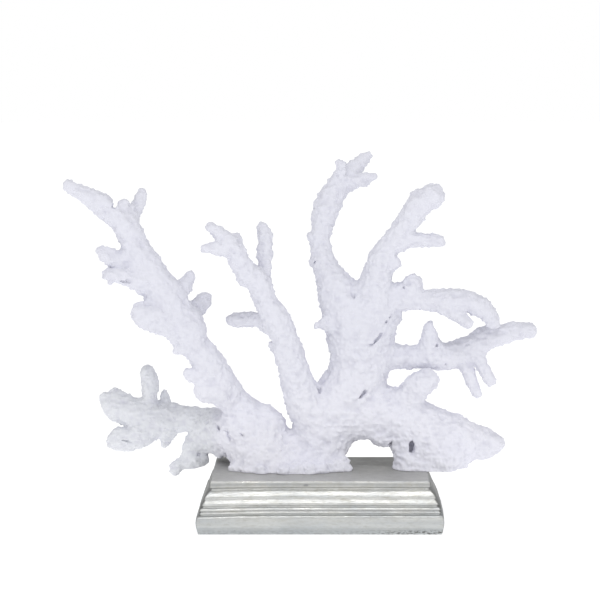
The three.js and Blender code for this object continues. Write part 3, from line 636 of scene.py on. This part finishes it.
def skin_of(field):
    """The surface where the field is zero. Each grid edge that crosses it has a crossing, placed by its
    two values; each cell has a vertex at the mean of its crossings; each crossing has a quad of the four
    cells round it, turned to face out of the coral."""
    units = np.eye(3, dtype=int)
    strides = np.array([field.shape[1] * field.shape[2], field.shape[2], 1])
    inside = field < 0
    rings, crossings = [], []
    for axis in range(3):
        near = np.delete(inside, -1, axis)
        far = np.delete(inside, 0, axis)
        edge = np.argwhere(near != far)
        a, b = field[tuple(edge.T)], field[tuple((edge + units[axis]).T)]
        u, v = units[axis - 2], units[axis - 1]
        ring = np.stack([edge, edge - u, edge - u - v, edge - v], axis=1) @ strides
        rings.append(np.where(a[:, None] < 0, ring, ring[:, ::-1]))
        crossings.append(edge + units[axis] * (a / (a - b))[:, None])
    quads = np.unique(np.concatenate(rings), return_inverse=True)[1].reshape(-1, 4)
    total = gathered(quads, np.concatenate(crossings))
    return total / np.bincount(quads.ravel())[:, None] * PITCH + LOW, quads


def relaxed(points, quads, rounds):
    """Each vertex goes half way to the mean of its neighbours, and then a little more than that back, so
    that steps of the grid go and the girth stays."""
    one, other = np.stack([quads, np.roll(quads, -1, axis=1)], axis=2).reshape(-1, 2).T
    count = np.bincount(np.concatenate([one, other]))[:, None]
    for pull in (0.5, -0.52) * rounds:
        total = [np.bincount(one, column[other]) + np.bincount(other, column[one]) for column in points.T]
        points = points + pull * (np.stack(total, axis=1) / count - points)
    return points


def at_unit(vectors):
    """The vectors at a length of 1."""
    return vectors / np.maximum(np.linalg.norm(vectors, axis=1, keepdims=True), 1e-9)


def outward(points, quads):
    """Each vertex's normal: the sum of its quads' crossed diagonals, at unit length."""
    a, b, c, d = (points[quads[:, k]] for k in range(4))
    return at_unit(gathered(quads, np.cross(c - a, d - b)))


def cups(points, size, seed):
    """Distance to the nearest of one point scattered in each cube of that size, 0 at the point itself and
    about 1 midway between points."""
    where = points / size
    cube = np.floor(where).astype(np.int64)
    least = np.full(len(points), 9.0)
    for step in np.ndindex(3, 3, 3):
        other = cube + np.array(step) - 1
        jitter = np.stack([scatter(other, seed + k) for k in range(3)], axis=1)
        least = np.minimum(least, ((other + jitter - where) ** 2).sum(axis=1))
    return np.sqrt(least)


def relief_of(points):
    """How far the small relief stands out, in mm: knobs that fall off by the square of the distance from
    their middles, creases where either of two smooth noises passes zero, cone-shaped warts and a grain."""
    knobs = 0.35 - cups(points, KNOB_SIZE, 21) ** 2
    folds = np.abs(ripple(points * (0.7, 0.8, 1.1), CRUMPLE_SIZE, 25))
    small_folds = np.abs(ripple(points, CRUMPLE_SIZE / 1.8, 26))
    crumples = 0.35 - folds + 0.2 - 0.6 * small_folds
    warts = np.clip(0.45 - cups(points, WART_SIZE, 41), 0, None) - 0.08
    grains = ripple(points * (0.6, 0.6, 1), GRAIN_SIZE, 31)
    return KNOB * knobs + CRUMPLE * crumples + WART * warts + GRAIN * grains


# The feet spread and are sawn at the stand's top; the spray, which hangs beside the stand, isn't.
names = [branch[0] for branch in branches]
floor_cut = STAND_HEIGHT - axes[2][None, None, :]
sawn = grower != names.index("lower_left_spray")
flare = FOOT_FLARE * np.exp(np.minimum(floor_cut, 0) / FLARE_HEIGHT)
field -= np.where(sawn, flare, 0).astype(np.float32)
meet = np.clip(1 - np.abs(field - floor_cut) / SAWN_EDGE, 0, None)
field = np.where(sawn, np.maximum(field, floor_cut) + SAWN_EDGE / 4 * meet**2, field)

skin, quads = skin_of(field)
skin = relaxed(skin, quads, RELAXING)
lumps = ripple(skin, LUMP_SIZE, 11) + 0.4 * ripple(skin * (1, 1, 1.7), LUMP_SIZE / 2, 12)
relief = relief_of(skin)
swell = LUMP * lumps + relief
on_stand = skin[:, 2:] < STAND_HEIGHT + SOLE
skin = skin + outward(skin, quads) * swell[:, None] * np.where(on_stand, SOLE_SPREAD, 1)

# Each quad belongs to the branch that grew there, or to its parent where it is short of the fork's plane.
centres = skin[quads].mean(axis=1)
nearest = np.clip(np.rint((centres - LOW) / PITCH).astype(int), 0, np.array(field.shape) - 1)
owner = grower[tuple(nearest.T)].astype(int)
for child in range(len(branches) - 1, 0, -1):
    _, parent, fork, way = branches[child]
    short = (centres - placed(*fork)) @ np.array(way) < 0
    owner[(owner == child) & short] = names.index(parent)

# Across each edge of a quad is the quad that has the same edge the other way round.
ends = np.stack([quads, np.roll(quads, -1, axis=1)], axis=2)
forward = (ends[..., 0] * len(skin) + ends[..., 1]).ravel()
backward = (ends[..., 1] * len(skin) + ends[..., 0]).ravel()
order = np.argsort(forward)
mate = order[np.clip(np.searchsorted(forward[order], backward), 0, order.size - 1)]
beyond = owner[mate.reshape(-1, 4) // 4]

for child in range(1, len(branches)):
    _, parent, fork, way = branches[child]
    seam = np.unique(ends[(owner[:, None] == child) & (beyond == names.index(parent))])
    off = (skin[seam] - placed(*fork)) @ np.array(way) / np.dot(way, way)
    flat = np.abs(off) < SEAM_REACH
    skin[seam[flat]] -= off[flat, None] * np.array(way)

normals = outward(skin, quads)

bleached, shade, shader = finish_of("bleached_coral")
place = shade.node("ShaderNodeTexCoord", output=3)
broad = shade.noise(place, 22.0, 3.0)
fine = shade.noise(place, 420.0, 3.0, 0.6)
chalk = broad.ramp((0.35, 0), (0.65, 1)).blend(CORAL_PALE, CORAL_WARM)
# Painted shade that dims the coral higher up and to the right.
chalk = shade.painted("dusk").blend(chalk, CORAL_DIMMED)
# The lower left spray's painted shade.
chalk = shade.painted("shelter").blend(chalk, CORAL_SPRAY_SHADE)
# Painted shade in the relief's hollows.
hollows = (shade.painted("swell") * 0.8 + fine * 0.2).ramp((0.1, 0.65), (0.55, 0))
chalk = hollows.blend(chalk, CORAL_CREVICE_SHADE)
rough = shade.node("ShaderNodeBump", {}, {"Strength": 0.3, "Distance": BUMP_DEPTH, "Height": fine})
feed(shade, shader, Base_Color=chalk, Roughness=0.82 + fine * 0.14, Normal=rough)

# A piece is its own quads and, at each fork, a flat cut of triangles from the rim to the rim's middle.
for number, name in enumerate(names):
    own = quads[owner == number]
    rims, middles = [], []
    for other in np.unique(beyond[owner == number]):
        if other != number:
            rim = ends[(owner[:, None] == number) & (beyond == other)]
            rims.append(np.column_stack([rim[:, ::-1], np.full(len(rim), len(skin) + len(middles))]))
            middles.append(skin[np.unique(rim)].mean(axis=0))
    corners = np.concatenate([own.ravel(), np.concatenate(rims).ravel()])
    used, corners = np.unique(corners, return_inverse=True)
    points = np.vstack([skin, middles])[used]
    outside, cuts = corners[: own.size].reshape(-1, 4), corners[own.size :].reshape(-1, 3)
    a, b, middle = (points[cuts[:, k]] for k in range(3))
    cut_ways = at_unit(np.cross(a - middle, b - middle))
    # Painted shade: it dims the coral higher up and to the right, and greys the lower left spray.
    dimming = (points[:, 2] - DIMMING_UP[0]) / DIMMING_UP[1]
    dimming = np.maximum(dimming, (points[:, 0] - DIMMING_RIGHT[0]) / DIMMING_RIGHT[1])
    spray_shade = (points[:, 0] - SPRAY_SHADE_LEFT[0]) / SPRAY_SHADE_LEFT[1] * (name == "lower_left_spray")
    piece = piece_of(name + "_skin", points, outside, cuts, flat_from=1)
    facing = np.concatenate([normals[own.ravel()], np.repeat(cut_ways, 3, axis=0)])
    piece.data.normals_split_custom_set(facing)
    paint(piece, "swell", 0.5 + np.append(relief, np.zeros(len(middles)))[used] * 0.4)
    paint(piece, "dusk", np.clip(dimming, 0, DIMMING_MOST))
    paint(piece, "shelter", np.clip(spray_shade, 0, SPRAY_SHADE_MOST))
    piece.data.materials.append(bleached)
    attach(piece, "root")
    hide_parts(name)


# The stage: a plain white floor that runs back out of sight, an even white surround, and three large soft
# lights: one high on the left, one low on the right and a strip overhead. The camera stands where the
# photograph was taken from.
FLOOR_WHITE = (0.6, 0.6, 0.6, 1)
FLOOR_GLOW = 0.7
FLOOR_SIDE, FLOOR_FRONT, FLOOR_BACK = 40000, -20000, 60000  # mm
FLOOR_LEVEL = -0.05  # mm, just clear of the stand's underside
SURROUND = 0.66  # the surround's light; it shows as white
SOFT_LIGHTS = (  # m: where it stands, what it faces, how wide and how high it is; then watts
    ("key", (-1.2, -3.2, 1.1), (0, 0, 0.13), 2.2, 1.6, 5.8),
    ("fill", (1.0, -3.1, 0.45), (0, 0, 0.13), 2.4, 0.8, 5.6),
    ("strip", (0, -1.15, 1.95), (0, 0, 0.05), 1.3, 0.3, 9))
PHOTO_SIZE = 600  # pixels
FOCAL = 1722  # pixels
LOOK_DOWN = 186.6  # pixels, how far the picture's middle is below the eye's level
MIDDLE_RIGHT = 20  # pixels, how far the object's middle is right of the picture's
SENSOR = 36  # mm

floor_white, shade, shader = finish_of("floor_white")
shader.inputs["Base Color"].default_value = FLOOR_WHITE
shader.inputs["Roughness"].default_value = 0.9
shader.inputs["Specular IOR Level"].default_value = 0.0
shader.inputs["Emission Color"].default_value = (1, 1, 1, 1)
shader.inputs["Emission Strength"].default_value = FLOOR_GLOW
floor_sides = np.array([-FLOOR_SIDE, FLOOR_SIDE, FLOOR_SIDE, -FLOOR_SIDE], float)
floor_depths = np.array([FLOOR_FRONT, FLOOR_FRONT, FLOOR_BACK, FLOOR_BACK], float)
floor_points = np.column_stack([floor_sides, floor_depths, np.full(4, FLOOR_LEVEL)])
floor = piece_of("floor", floor_points, np.array([[0, 1, 2, 3]]))
floor.data.materials.append(floor_white)

surround = bpy.data.worlds.new("surround")
surround.use_nodes = True
shade = Shade(surround.node_tree)
backing = surround.node_tree.nodes["Background"]
backing.inputs["Color"].default_value = (1, 1, 1, 1)
feed(shade, backing, Strength=SURROUND + shade.node("ShaderNodeLightPath") * (1 - SURROUND))
bpy.context.scene.world = surround

for name, at, aim, wide, high, power in SOFT_LIGHTS:
    lamp = bpy.data.lights.new(name, "AREA")
    lamp.shape, lamp.size, lamp.size_y, lamp.energy = "RECTANGLE", wide, high, power
    made = bpy.data.objects.new(name, lamp)
    made.location = at
    x, y, z = np.array(at) - np.array(aim)
    made.rotation_euler = (math.atan2(math.hypot(x, y), z), 0, math.atan2(x, -y))
    bpy.context.scene.collection.objects.link(made)

lens = bpy.data.cameras.new("photograph")
lens.sensor_width, lens.lens, lens.shift_x = SENSOR, FOCAL * SENSOR / PHOTO_SIZE, -MIDDLE_RIGHT / PHOTO_SIZE
camera = bpy.data.objects.new("photograph", lens)
camera.location = (0, -EYE_AWAY / 1000, EYE_UP / 1000)
camera.rotation_euler = (math.pi / 2 - math.atan(LOOK_DOWN / FOCAL), 0, 0)
bpy.context.scene.collection.objects.link(camera)
bpy.context.scene.camera = camera
bpy.context.scene.view_settings.view_transform = "Standard"
